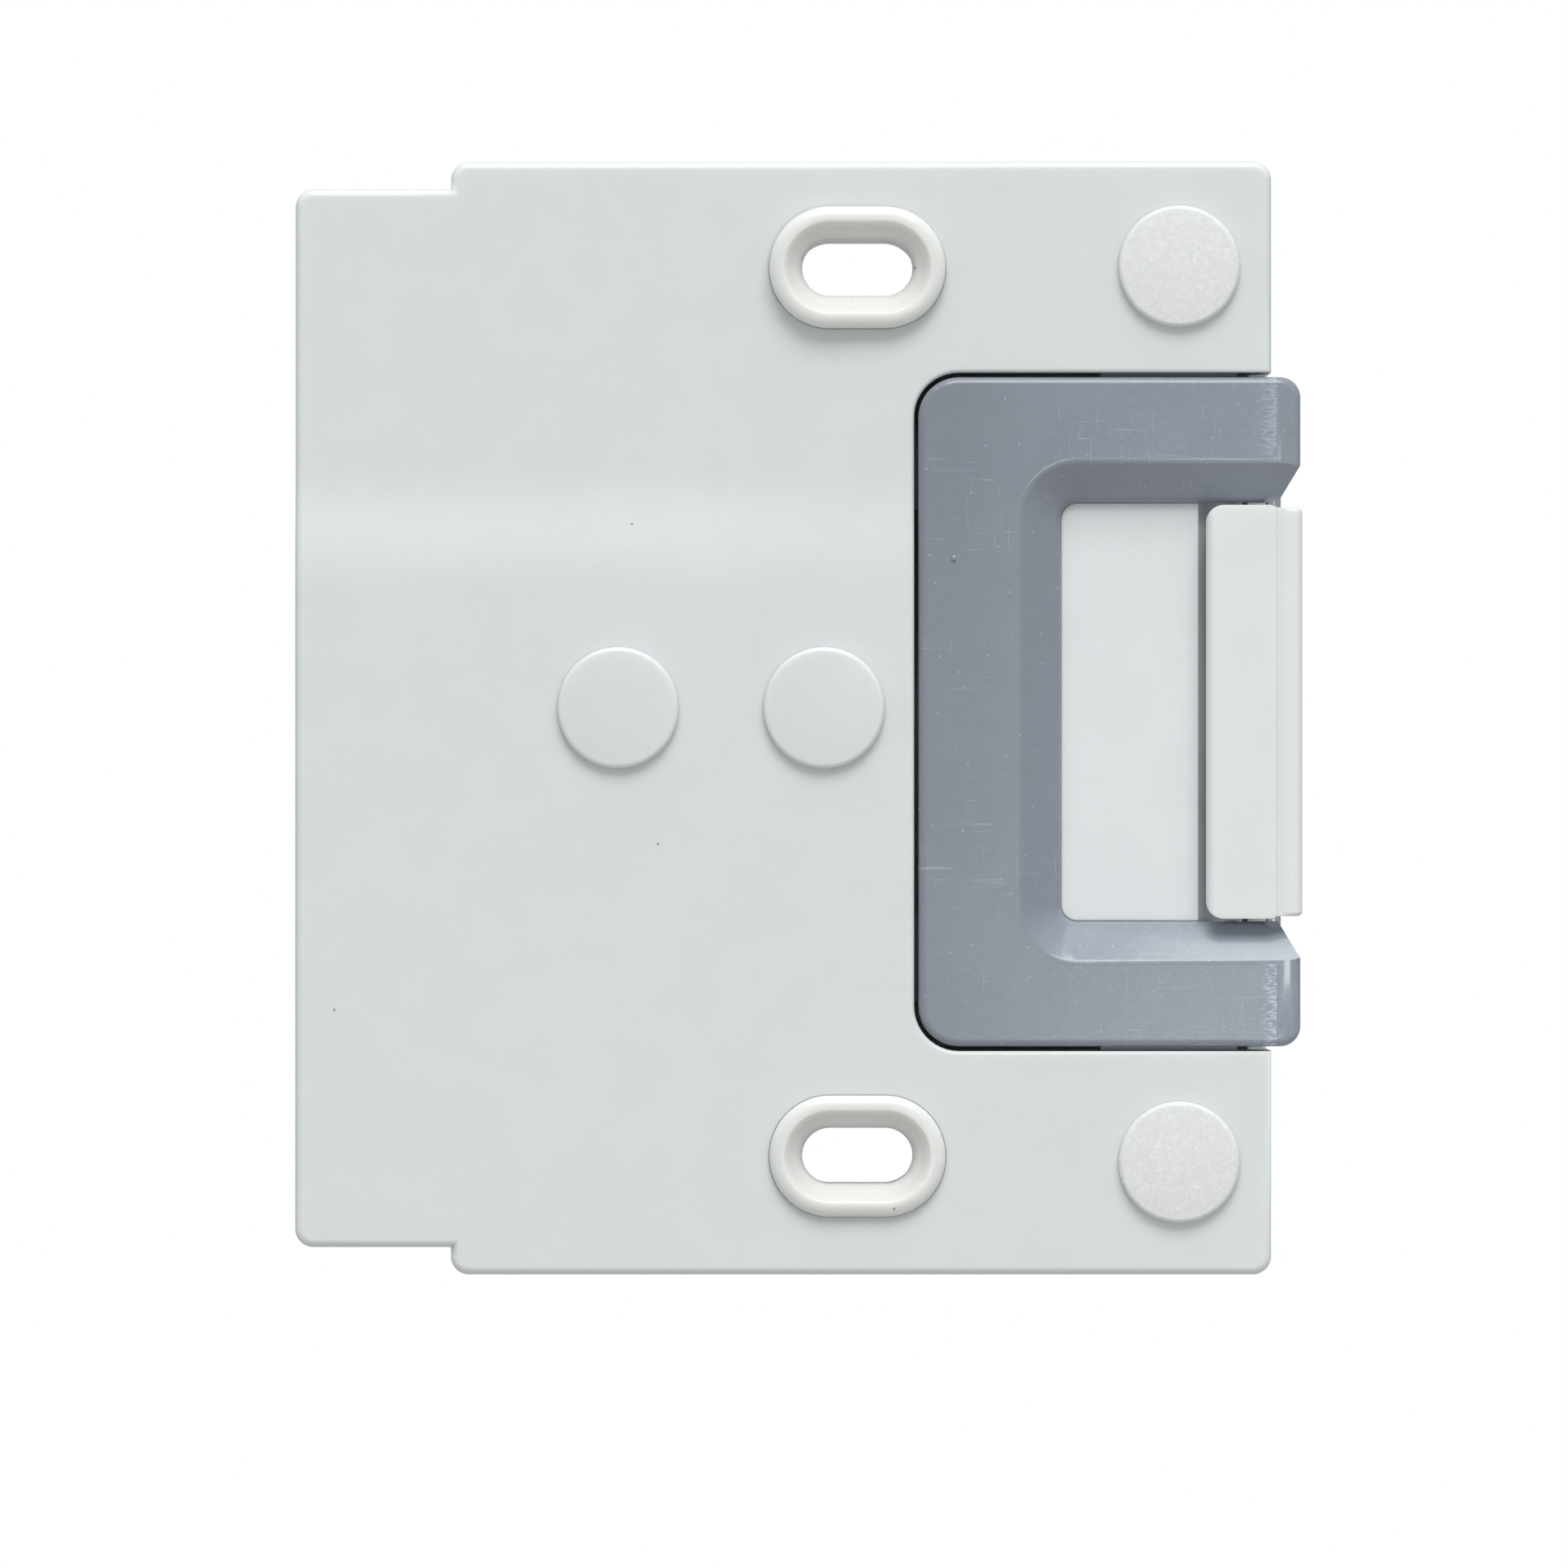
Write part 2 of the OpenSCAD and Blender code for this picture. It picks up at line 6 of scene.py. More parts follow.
import bmesh
import bpy
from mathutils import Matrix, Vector

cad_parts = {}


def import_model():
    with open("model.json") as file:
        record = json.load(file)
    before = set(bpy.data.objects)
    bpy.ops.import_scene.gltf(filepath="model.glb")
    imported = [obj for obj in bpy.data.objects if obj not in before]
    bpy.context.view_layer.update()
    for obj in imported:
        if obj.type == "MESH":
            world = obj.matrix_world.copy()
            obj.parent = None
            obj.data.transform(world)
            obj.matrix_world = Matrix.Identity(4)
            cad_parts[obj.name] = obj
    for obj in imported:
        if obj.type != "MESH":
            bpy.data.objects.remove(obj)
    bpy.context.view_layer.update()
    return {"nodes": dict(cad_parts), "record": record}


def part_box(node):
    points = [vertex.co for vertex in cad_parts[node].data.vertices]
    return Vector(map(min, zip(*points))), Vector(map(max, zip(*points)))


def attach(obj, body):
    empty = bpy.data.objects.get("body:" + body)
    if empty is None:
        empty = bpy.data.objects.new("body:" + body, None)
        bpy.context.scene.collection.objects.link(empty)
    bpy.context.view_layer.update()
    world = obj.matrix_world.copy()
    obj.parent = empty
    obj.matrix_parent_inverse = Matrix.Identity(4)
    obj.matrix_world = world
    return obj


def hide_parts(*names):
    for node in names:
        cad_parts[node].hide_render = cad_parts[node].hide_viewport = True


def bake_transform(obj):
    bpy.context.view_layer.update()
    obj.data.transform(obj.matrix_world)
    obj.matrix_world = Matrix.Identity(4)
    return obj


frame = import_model()
MM = 0.001
SCENE = bpy.context.scene


# ---------------------------------------------------------------- sizes from the frame

COVER_LO, COVER_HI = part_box("front_cover")
LEVER_LO, LEVER_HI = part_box("release_lever")
TRAY_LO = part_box("pocket_tray")[0]
PAWL_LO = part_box("latch_pawl")[0]
FRONT = COVER_LO.y
LEVER_TOP = LEVER_LO.y

# width of the shallow slope at the right end of the lever's arms
ARM_SLOPE_W = 2.4 * MM

# points closer than this are one point, faces closer to flat than this are one face
WELD = 2e-6
FLAT = math.radians(0.4)

# a front face's normal has a lower Y than this, a wall's normal stays within this of the X-Z plane
FRONT_NORMAL_Y = -0.6
WALL_NORMAL_Y = 0.35


# ---------------------------------------------------------------- mesh helpers

def new_piece(name, mesh, body, *stands_for, slot=None):
    """A shown piece that stands for the CAD nodes named, riding on the body if one is given."""
    piece = bpy.data.objects.new(name, mesh)
    SCENE.collection.objects.link(piece)
    if body:
        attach(piece, body)
    if stands_for:
        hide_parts(*stands_for)
    return piece


def cad_bmesh(node):
    """The CAD node's mesh as a bmesh with its flat faces whole again."""
    bm = bmesh.new()
    bm.from_mesh(frame["nodes"][node].data)
    bmesh.ops.remove_doubles(bm, verts=bm.verts, dist=WELD)
    bmesh.ops.dissolve_limit(bm, angle_limit=FLAT, verts=bm.verts, edges=bm.edges)
    bmesh.ops.remove_doubles(bm, verts=bm.verts, dist=WELD)
    return bm


def round_edges(bm, picked, width, segments=3, clamp=True):
    """Rounds the sharp edges that picked(middle) accepts."""
    edges = []
    for edge in bm.edges:
        if len(edge.link_faces) != 2 or edge.calc_face_angle(0) < math.radians(28):
            continue
        if picked((edge.verts[0].co + edge.verts[1].co) / 2):
            edges.append(edge)
    bmesh.ops.bevel(bm, geom=edges, offset=width, offset_type="OFFSET", segments=segments, profile=0.5,
                    affect="EDGES", clamp_overlap=clamp, miter_outer="ARC", loop_slide=True)
    bmesh.ops.remove_doubles(bm, verts=bm.verts, dist=1e-6)


def outward(normal):
    """A wall's normal without its small tilt along Y."""
    return Vector((normal.x, 0, normal.z)).normalized()


def front_rim(bm, deepest):
    """The convex edges between front faces and walls, with each one's outward way and front face."""
    rim = {}
    for edge in bm.edges:
        if len(edge.link_faces) != 2 or not edge.is_convex:
            continue
        face, wall = sorted(edge.link_faces, key=lambda f: f.normal.y)
        meets = face.normal.y < FRONT_NORMAL_Y and abs(wall.normal.y) < WALL_NORMAL_Y
        if meets and edge.verts[0].co.y < deepest:
            rim[edge] = (outward(wall.normal), face)
    return rim


def rim_shift(vert, rim, width):
    """How the rim's corner moves inwards over the front faces, and the width of the rounding there.
    Where two front faces meet at the corner, it moves along the crease between them."""
    edges = [e for e in vert.link_edges if e in rim]
    if len(edges) != 2 or width <= 0:
        return Vector((0, 0, 0)), 0.0
    (out_a, face_a), (out_b, face_b) = rim[edges[0]], rim[edges[1]]
    inward = -(out_a + out_b) / max(0.3, 1 + out_a.dot(out_b))
    if face_a.normal.angle(face_b.normal) > 0.02:
        best = None
        for edge in vert.link_edges:
            if edge in rim or len(edge.link_faces) != 2:
                continue
            if max(f.normal.y for f in edge.link_faces) > FRONT_NORMAL_Y:
                continue
            way = (edge.other_vert(vert).co - vert.co).normalized()
            along = way.dot(inward.normalized())
            if along > 0.4 and (best is None or along > best[0]):
                best = (along, way)
        if best:
            return best[1] * (width * inward.length / best[0]), width
    slope = face_a.normal
    step = inward * width
    step.y = -(slope.x * step.x + slope.z * step.z) / slope.y
    return step, width


def soften(bm, width_of, deepest, steps=5):
    """Rounds the rim between the front faces and the walls by width_of(point) metres."""
    bm.normal_update()
    rim = front_rim(bm, deepest)
    corners = {v for e in rim for v in e.verts}
    key = {v: tuple(round(c * 1e7) for c in v.co) for v in corners}
    plan = {key[v]: (v.co.copy(), *rim_shift(v, rim, width_of(v.co))) for v in corners}
    pairs = [(key[e.verts[0]], key[e.verts[1]]) for e in rim]
    bmesh.ops.split_edges(bm, edges=list(rim))
    bm.normal_update()
    ends = {}
    for vert in bm.verts:
        name = tuple(round(c * 1e7) for c in vert.co)
        if name in plan:
            front = any(f.normal.y < FRONT_NORMAL_Y for f in vert.link_faces)
            ends.setdefault(name, {})["front" if front else "wall"] = vert
    columns = {}
    for name, (corner, inward, width) in plan.items():
        column = []
        for i in range(steps + 1):
            a = math.pi / 2 * i / steps
            spot = corner + inward * (1 - math.cos(a)) + Vector((0, width * (1 - math.sin(a)), 0))
            held = ends[name].get({0: "wall", steps: "front"}.get(i))
            if held is None:
                held = bm.verts.new(spot)
            else:
                held.co = spot
            column.append(held)
        columns[name] = column
    for a, b in pairs:
        for i in range(steps):
            ring = (columns[a][i], columns[b][i], columns[b][i + 1], columns[a][i + 1])
            if len(set(ring)) == 4:
                bm.faces.new(ring)
    bmesh.ops.remove_doubles(bm, verts=bm.verts, dist=1e-6)
    bmesh.ops.recalc_face_normals(bm, faces=bm.faces)


def finish_mesh(bm, name, sharp=35):
    """The bmesh as a mesh with smooth shading, edges over the sharp angle kept."""
    mesh = bpy.data.meshes.new(name)
    bm.to_mesh(mesh)
    bm.free()
    smooth(mesh, sharp)
    return mesh


def smooth(mesh, sharp):
    """Smooth shading, with edges over the sharp angle kept."""
    for face in mesh.polygons:
        face.use_smooth = True
    mesh.set_sharp_from_angle(angle=math.radians(sharp))


def even_shading(piece):
    """Large faces decide the shading of the small ones beside them."""
    weighted = piece.modifiers.new("shading", "WEIGHTED_NORMAL")
    weighted.keep_sharp = True
    weighted.weight = 80


def arc(cx, cy, radius, start, stop, steps):
    """Points of an arc, in degrees."""
    turn = [math.radians(start + (stop - start) * i / steps) for i in range(steps + 1)]
    return [(cx + radius * math.cos(a), cy + radius * math.sin(a)) for a in turn]


def swept_ring(profile, half, centre, front_y, steps=40):
    """Mesh of a closed (radius, height) profile swept round an obround, height towards -Y from front_y."""
    bm = bmesh.new()
    stations = []
    for i in range(2 * steps + 2):
        side = 1 if i <= steps else -1
        turn = -90 + 180 * i / steps if side > 0 else 90 + 180 * (i - steps - 1) / steps
        a = math.radians(turn)
        ring = [bm.verts.new((centre[0] + side * half + r * math.cos(a), front_y - h,
                              centre[1] + r * math.sin(a))) for r, h in profile]
        stations.append(ring)
    for i, ring in enumerate(stations):
        after = stations[(i + 1) % len(stations)]
        for j in range(len(profile)):
            k = (j + 1) % len(profile)
            bm.faces.new((ring[j], ring[k], after[k], after[j]))
    bmesh.ops.remove_doubles(bm, verts=bm.verts, dist=1e-7)
    bmesh.ops.dissolve_degenerate(bm, edges=bm.edges, dist=1e-8)
    bmesh.ops.recalc_face_normals(bm, faces=bm.faces)
    return bm


# ---------------------------------------------------------------- materials

class Look:
    """A Principled material built from small procedural steps in object space."""

    def __init__(self, name, rough, metal=0.0, sss=0.0):
        self.mat = bpy.data.materials.new(name)
        self.mat.use_nodes = True
        self.nodes = self.mat.node_tree.nodes
        self.links = self.mat.node_tree.links
        self.bsdf = self.nodes["Principled BSDF"]
        self.bsdf.inputs["Roughness"].default_value = rough
        self.bsdf.inputs["Metallic"].default_value = metal
        self.bsdf.inputs["IOR"].default_value = 1.46
        if sss:
            self.bsdf.inputs["Subsurface Weight"].default_value = sss
            self.bsdf.inputs["Subsurface Radius"].default_value = (1.0, 0.96, 0.92)
            self.bsdf.inputs["Subsurface Scale"].default_value = 1.6 * MM
        self.coord = self.nodes.new("ShaderNodeTexCoord").outputs["Object"]
        self.bumps = None

    def noise(self, scale, detail=4.0, rough=0.55, stretch=(1, 1, 1), turn=(0, 0, 0)):
        """Noise of about 0 to 1 with scale cells in a metre, and stretch times as many along each axis."""
        place = self.nodes.new("ShaderNodeMapping")
        place.inputs["Scale"].default_value = [scale * s for s in stretch]
        place.inputs["Rotation"].default_value = [math.radians(t) for t in turn]
        self.links.new(self.coord, place.inputs["Vector"])
        tex = self.nodes.new("ShaderNodeTexNoise")
        tex.inputs["Scale"].default_value = 1.0
        tex.inputs["Detail"].default_value = detail
        tex.inputs["Roughness"].default_value = rough
        self.links.new(place.outputs["Vector"], tex.inputs["Vector"])
        return tex.outputs["Fac"]

    def dots(self, apart, radius):
        """1 on small round specks scattered over the X-Z plane, one in each square of the spacing."""
        flat = self.nodes.new("ShaderNodeCombineXYZ")
        self.links.new(self.axis("X"), flat.inputs["X"])
        self.links.new(self.axis("Z"), flat.inputs["Y"])
        cells = self.nodes.new("ShaderNodeTexVoronoi")
        cells.voronoi_dimensions = "2D"
        cells.inputs["Scale"].default_value = 1 / apart
        self.links.new(flat.outputs["Vector"], cells.inputs["Vector"])
        reach = radius / apart
        return self.maths("SUBTRACT", 1.0, self.mask(cells.outputs["Distance"], reach * 0.6, reach))

    def mask(self, value, low, high):
        """0 below low, 1 above high."""
        node = self.nodes.new("ShaderNodeMapRange")
        node.interpolation_type = "SMOOTHSTEP"
        node.inputs["From Min"].default_value = low
        node.inputs["From Max"].default_value = high
        self.links.new(value, node.inputs["Value"])
        return node.outputs["Result"]

    def maths(self, kind, a, b=0.0):
        """A sum, product or the like of two values or sockets."""
        node = self.nodes.new("ShaderNodeMath")
        node.operation = kind
        for socket, value in zip(node.inputs, (a, b)):
            if isinstance(value, (int, float)):
                socket.default_value = value
            else:
                self.links.new(value, socket)
        return node.outputs["Value"]

    def axis(self, name):
        """The point's X, Y or Z in metres."""
        node = self.nodes.new("ShaderNodeSeparateXYZ")
        self.links.new(self.coord, node.inputs["Vector"])
        return node.outputs[name]

    def mix(self, factor, a, b):
        """Colour a at factor 0, b at factor 1."""
        node = self.nodes.new("ShaderNodeMix")
        node.data_type = "RGBA"
        self.links.new(factor, node.inputs["Factor"])
        for socket, value in ((node.inputs[6], a), (node.inputs[7], b)):
            if isinstance(value, tuple):
                socket.default_value = (*value, 1)
            else:
                self.links.new(value, socket)
        return node.outputs[2]

    def colour(self, value):
        self.links.new(value, self.bsdf.inputs["Base Color"])

    def roughness(self, value):
        self.links.new(value, self.bsdf.inputs["Roughness"])

    def bump(self, value, height, strength):
        """Adds a relief of this height in metres on top of the bumps so far."""
        node = self.nodes.new("ShaderNodeBump")
        node.inputs["Strength"].default_value = strength
        node.inputs["Distance"].default_value = height
        self.links.new(value, node.inputs["Height"])
        if self.bumps is not None:
            self.links.new(self.bumps, node.inputs["Normal"])
        self.bumps = node.outputs["Normal"]
        self.links.new(self.bumps, self.bsdf.inputs["Normal"])


def linear(*srgb):
    """sRGB 0 to 255 as linear colour."""
    return tuple(c / 255 / 12.92 if c <= 10.3 else ((c / 255 + 0.055) / 1.055) ** 2.4 for c in srgb)


def shade(colour, factor):
    """The colour made darker or lighter."""
    return tuple(min(1.0, c * factor) for c in colour)


def moulded(name, colour, rough=0.42, grain=1.0, sss=0.5):
    """Moulded plastic: cloudy colour, fine spark grain, a few dark specks and faint rubbing."""
    look = Look(name, rough, sss=sss)
    cloud = look.mask(look.noise(160, 5), 0.3, 0.7)
    fine = look.mask(look.noise(2600, 3), 0.25, 0.75)
    base = look.mix(cloud, shade(colour, 0.985), shade(colour, 1.01))
    base = look.mix(look.maths("MULTIPLY", fine, 0.35), base, shade(colour, 0.97))
    specks = look.dots(38 * MM, 0.17 * MM)
    base = look.mix(look.maths("MULTIPLY", specks, 0.7), base, shade(colour, 0.3))
    look.colour(base)
    rub = look.mask(look.noise(90, 6, 0.7), 0.35, 0.75)
    look.roughness(look.maths("ADD", look.maths("MULTIPLY", rub, 0.1), rough - 0.05))
    look.bump(look.noise(3000, 3), 0.000012 * grain, 0.6)
    look.bump(look.noise(420, 4), 0.00003 * grain, 0.35)
    return look


def frosted(name, colour):
    """Finely eroded pad face: bright crystalline grain."""
    look = Look(name, 0.62, sss=0.1)
    grain = look.mask(look.noise(2600, 4, 0.7), 0.45, 0.6)
    patch = look.mask(look.noise(900, 4, 0.6), 0.35, 0.7)
    flakes = look.mask(look.noise(1500, 3, 0.6), 0.6, 0.68)
    base = look.mix(grain, shade(colour, 0.95), shade(colour, 1.03))
    base = look.mix(look.maths("MULTIPLY", flakes, 0.7), base, shade(colour, 1.12))
    base = look.mix(look.maths("MULTIPLY", patch, 0.35), base, shade(colour, 0.97))
    look.colour(base)
    look.roughness(look.maths("ADD", look.maths("MULTIPLY", grain, -0.2), 0.68))
    look.bump(look.noise(3800, 5, 0.7), 0.00003, 0.8)
    return look


def arm_scuffs(look):
    """White rubbed streaks where the arms' end slopes start, thick on the lower arm, faint on the upper."""
    x, z = look.axis("X"), look.axis("Z")
    crease = LEVER_HI.x - ARM_SLOPE_W
    close = look.maths("MULTIPLY", look.mask(x, crease - 3.2 * MM, crease),
                       look.maths("SUBTRACT", 1.0, look.mask(x, crease, crease + 0.1 * MM)))
    low = look.maths("SUBTRACT", 1.0, look.mask(z, -25.0 * MM, -24.7 * MM))
    high = look.mask(z, 24.7 * MM, 25.0 * MM)
    amount = look.maths("ADD", low, look.maths("MULTIPLY", high, 0.45))
    flake = look.noise(1600, 4, 0.65, (1, 1, 4))
    flake = look.mask(look.maths("ADD", flake, look.maths("MULTIPLY", close, 0.16)), 0.55, 0.75)
    return look.maths("MULTIPLY", look.maths("MULTIPLY", close, amount), flake)


def grey_nylon():
    """Blue-grey glass-filled nylon: glossy, mottled, finely scratched, scuffed at the ends of the arms, and
    darkened towards its left end and top as painted shade.
    """
    colour = linear(140, 147, 157)
    look = Look("grey_nylon", 0.22)
    cloud = look.mask(look.noise(140, 5), 0.3, 0.7)
    fibre = look.mask(look.noise(1500, 4, 0.6, (1, 1, 2)), 0.35, 0.65)
    fleck = look.mask(look.noise(2300, 2, 0.5, (1, 1, 2)), 0.6, 0.72)
    base = look.mix(cloud, shade(colour, 0.97), shade(colour, 1.03))
    base = look.mix(look.maths("MULTIPLY", fibre, 0.55), base, shade(colour, 1.1))
    base = look.mix(look.maths("MULTIPLY", fleck, 0.5), base, shade(colour, 1.35))
    # painted shade: the colour darkens towards the lever's left end and its top, standing in for the gloss
    # and light that brighten its right end and bottom
    rightward = look.mask(look.axis("X"), LEVER_LO.x, LEVER_HI.x - 10 * MM)
    downward = look.mask(look.axis("Z"), 30 * MM, -30 * MM)
    painted_shade_fade = look.maths("ADD", look.maths("MULTIPLY", rightward, 0.75),
                      look.maths("MULTIPLY", downward, 0.25))
    base = look.mix(look.maths("SUBTRACT", 1.0, painted_shade_fade), base, shade(colour, 0.79))
    lines = []
    for turn, stretch in ((17, (1, 1, 30)), (-48, (30, 1, 1)), (71, (1, 1, 24))):
        hair = look.noise(170, 2, 0.5, stretch, (0, turn, 0))
        lines.append(look.mask(hair, 0.68, 0.72))
    scratch = look.maths("MAXIMUM", look.maths("MAXIMUM", lines[0], lines[1]), lines[2])
    where = look.mask(look.noise(110, 2), 0.5, 0.62)
    scratch = look.maths("MULTIPLY", scratch, where)
    nicks = look.dots(5 * MM, 0.12 * MM)
    scuff = arm_scuffs(look)
    worn = look.maths("MAXIMUM", look.maths("MULTIPLY", scratch, 0.25),
                      look.maths("MULTIPLY", scuff, 0.9))
    worn = look.maths("MAXIMUM", worn, look.maths("MULTIPLY", nicks, 0.35))
    look.colour(look.mix(worn, base, shade(colour, 2.1)))
    smear = look.mask(look.noise(70, 6, 0.7), 0.3, 0.75)
    rough = look.maths("ADD", look.maths("MULTIPLY", smear, 0.1), 0.16)
    look.roughness(look.maths("ADD", rough, look.maths("MULTIPLY", worn, 0.3)))
    look.bump(look.noise(2400, 3), 0.000008, 0.5)
    look.bump(look.noise(260, 3), 0.00004, 0.3)
    look.bump(scuff, -0.00003, 0.6)
    return look


def metal(name, colour, rough, marks_stretch=(1, 1, 1)):
    """Plated or ground steel with fine directional marks and dull patches."""
    look = Look(name, rough, metal=1.0)
    marks = look.noise(1500, 4, 0.6, marks_stretch)
    patch = look.mask(look.noise(300, 4), 0.3, 0.7)
    base = look.mix(patch, shade(colour, 0.85), shade(colour, 1.05))
    look.colour(look.mix(look.maths("MULTIPLY", marks, 0.4), base, shade(colour, 0.7)))
    look.roughness(look.maths("ADD", look.maths("MULTIPLY", marks, 0.2), rough - 0.08))
    look.bump(marks, 0.00001, 0.6)
    return look


LOOKS = {
    "white_shell": moulded("white_shell", linear(216, 221, 221)),
    "white_base": moulded("white_base", linear(206, 210, 210), 0.5, 1.6),
    "collar_plastic": moulded("collar_plastic", linear(222, 224, 221), 0.3, 0.8, sss=0.8),
    "frosted_pad": frosted("frosted_pad", linear(223, 226, 225)),
    "white_pad": moulded("white_pad", linear(217, 220, 221), 0.4, 0.8),
    "pin_steel": metal("pin_steel", (0.55, 0.56, 0.58), 0.28, (1, 1, 0.1)),
    "spring_steel": metal("spring_steel", (0.42, 0.43, 0.45), 0.35),
    "zinc_steel": metal("zinc_steel", (0.6, 0.6, 0.58), 0.38),
    "grey_nylon": grey_nylon(),
    "white_tray": moulded("white_tray", linear(224, 228, 229), 0.45),
    "white_pawl": moulded("white_pawl", linear(222, 226, 226), 0.36, 0.8),
}


def dress(piece, slot):
    """Puts the slot's material on a piece or a CAD node."""
    piece.data.materials.clear()
    piece.data.materials.append(LOOKS[slot].mat)


# ---------------------------------------------------------------- housing pieces

# the recess deepens from the first to the second height and fades out from the first to the second x
RAMP_Z = (11.4 * MM, 24.8 * MM)
RECESS_X = (-20 * MM, 20 * MM)
RECESS_DEPTH = 1.15 * MM

# how far behind the front plane the recessed front of the CAD cover reaches
SKIN = 1.15 * MM

# pieces that sit in the cover's front: those near the recess, and all of them
RECESS_SEATS = ("screw_collar_upper", "centre_pad_left", "centre_pad_right", "corner_pad_upper")
SEATS = RECESS_SEATS + ("screw_collar_lower", "corner_pad_lower")


def over_seat(p, seats):
    """True for a point that lies in one of these pieces' seats, seen from the front."""
    spare = 0.1 * MM
    for seat in seats:
        lo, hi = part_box(seat)
        if lo.x - spare < p.x < hi.x + spare and lo.z - spare < p.z < hi.z + spare:
            return True
    return False


def outer(p):
    """True for points on the outside of the cover, not inside a pad's or a collar's seat."""
    return not over_seat(p, RECESS_SEATS) or abs(p.y - FRONT) < 1.0 * MM


def relief(x, z):
    """Depth of the shallow recess at the upper left, with a soft ramp below it."""
    along = min(1.0, max(0.0, (x - RECESS_X[0]) / (RECESS_X[1] - RECESS_X[0])))
    t = min(1.0, max(0.0, (z - RAMP_Z[0]) / (RAMP_Z[1] - RAMP_Z[0])))
    return RECESS_DEPTH * (1 - along ** 1.5) * t ** 3 * (6 * t * t - 15 * t + 10)


def flatten_front(bm):
    """Lifts the recessed part of the front back to the front plane. form_recess then forms it softly."""
    for vert in bm.verts:
        if FRONT < vert.co.y < FRONT + SKIN and outer(vert.co) and vert.co.x < RECESS_X[1] + 0.1 * MM:
            vert.co.y = FRONT
    bmesh.ops.dissolve_limit(bm, angle_limit=FLAT, verts=bm.verts, edges=bm.edges)
    bmesh.ops.remove_doubles(bm, verts=bm.verts, dist=WELD)


def form_recess(bm):
    """Cuts the front into a fine grid and sinks it by the relief."""
    ramp_steps, fade_steps, left_steps = 22, 16, 6
    cuts = []
    for i in range(ramp_steps + 1):
        cuts.append(((0, 0, RAMP_Z[0] + (RAMP_Z[1] - RAMP_Z[0]) * i / ramp_steps), (0, 0, 1)))
    for i in range(fade_steps + 1):
        cuts.append(((RECESS_X[0] + (RECESS_X[1] - RECESS_X[0]) * i / fade_steps, 0, 0), (1, 0, 0)))
    for i in range(1, left_steps):
        cuts.append(((COVER_LO.x + (RECESS_X[0] - COVER_LO.x) * i / left_steps, 0, 0), (1, 0, 0)))
    for place, normal in cuts:
        skin = [f for f in bm.faces if min(v.co.y for v in f.verts) < FRONT + SKIN
                and max(v.co.z for v in f.verts) > RAMP_Z[0] and min(v.co.x for v in f.verts) < RECESS_X[1]]
        edges = {e for f in skin for e in f.edges}
        verts = {v for f in skin for v in f.verts}
        bmesh.ops.bisect_plane(bm, geom=list(verts) + list(edges) + skin, dist=1e-7, plane_co=place,
                               plane_no=normal)
    for vert in bm.verts:
        share = min(1.0, max(0.0, (FRONT + SKIN - vert.co.y) / (0.1 * MM)))
        if share > 0:
            vert.co.y += share * relief(vert.co.x, vert.co.z)


def front_cover():
    """The cover with its outline rounded, the lever's window edged softly, and the recess formed."""
    def width(p):
        if over_seat(p, SEATS):
            return 0.0
        in_window = p.x > 4 * MM and abs(p.z) < 36 * MM
        return 0.4 * MM if in_window else 0.8 * MM

    bm = cad_bmesh("front_cover")
    flatten_front(bm)
    soften(bm, width, FRONT + 0.02 * MM)
    form_recess(bm)
    return finish_mesh(bm, "cover")


def collar(centre_z):
    """Slotted collar: a tube through the cover, a flange, a rounded rim and a bowl down to the throat.
    The profile is (radius, height above the wall) in mm, swept round the slot."""
    outer_r, crest_r, throat_r, bore_r = 6.0, 4.65, 2.75, 3.2
    crest = -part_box("screw_collar_upper")[0].y / MM
    front = -FRONT / MM
    profile = [(bore_r, 0), (4.3, 0), (4.3, front - 1.2), (outer_r, front - 1.2)]
    rim_foot = front + 0.3
    profile += [(crest_r + (outer_r - crest_r) * across, rim_foot + (crest - rim_foot) * up)
                for across, up in arc(0, 0, 1, 0, 84, 9)]
    profile += arc(crest_r, crest - 0.22, 0.22, 90, 140, 4)
    profile += [(3.95, front + 0.4), (3.5, front - 0.02), (3.15, front - 0.4), (2.92, front - 0.75)]
    profile += [(2.79, front - 1.05), (throat_r, front - 1.4), (throat_r, front - 4.5)]
    profile += [(bore_r, front - 5.0)]
    return swept_ring([(r * MM, h * MM) for r, h in profile], 2.7 * MM, (0, centre_z), 0)


def pad(centre):
    """Round pad with a rounded rim and its stem. The profile is (radius, height above the cover) in mm."""
    pad_r, thick, stem_r, stem_end = 6.0, 1.0, 2.25, -3.6
    inset = 0.02
    profile = [(0, thick - inset)]
    profile += arc(pad_r - 0.5, thick - 0.5, 0.5 - inset, 88, 0, 6)
    profile += [(pad_r - inset, 0.0), (stem_r, 0), (stem_r, stem_end + 0.6)]
    profile += [(stem_r - 0.4, stem_end), (0, stem_end)]
    return swept_ring([(r * MM, h * MM) for r, h in profile], 0, centre, FRONT, 48)


cover = new_piece("cover", front_cover(), "housing", "front_cover", slot="white_shell")
dress(cover, "white_shell")
even_shading(cover)

for name, node in (("collar_upper", "screw_collar_upper"), ("collar_lower", "screw_collar_lower")):
    lo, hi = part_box(node)
    ring = new_piece(name, finish_mesh(collar((lo.z + hi.z) / 2), name, sharp=50), "housing", node,
                     slot="collar_plastic")
    dress(ring, "collar_plastic")

for node in ("corner_pad_upper", "corner_pad_lower", "centre_pad_left", "centre_pad_right"):
    lo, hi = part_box(node)
    slot = "frosted_pad" if node.startswith("corner") else "white_pad"
    middle = ((lo.x + hi.x) / 2, (lo.z + hi.z) / 2)
    disc = new_piece(node + "_disc", finish_mesh(pad(middle), node, sharp=50), "housing", node, slot=slot)
    dress(disc, slot)


# ---------------------------------------------------------------- lever and pawl

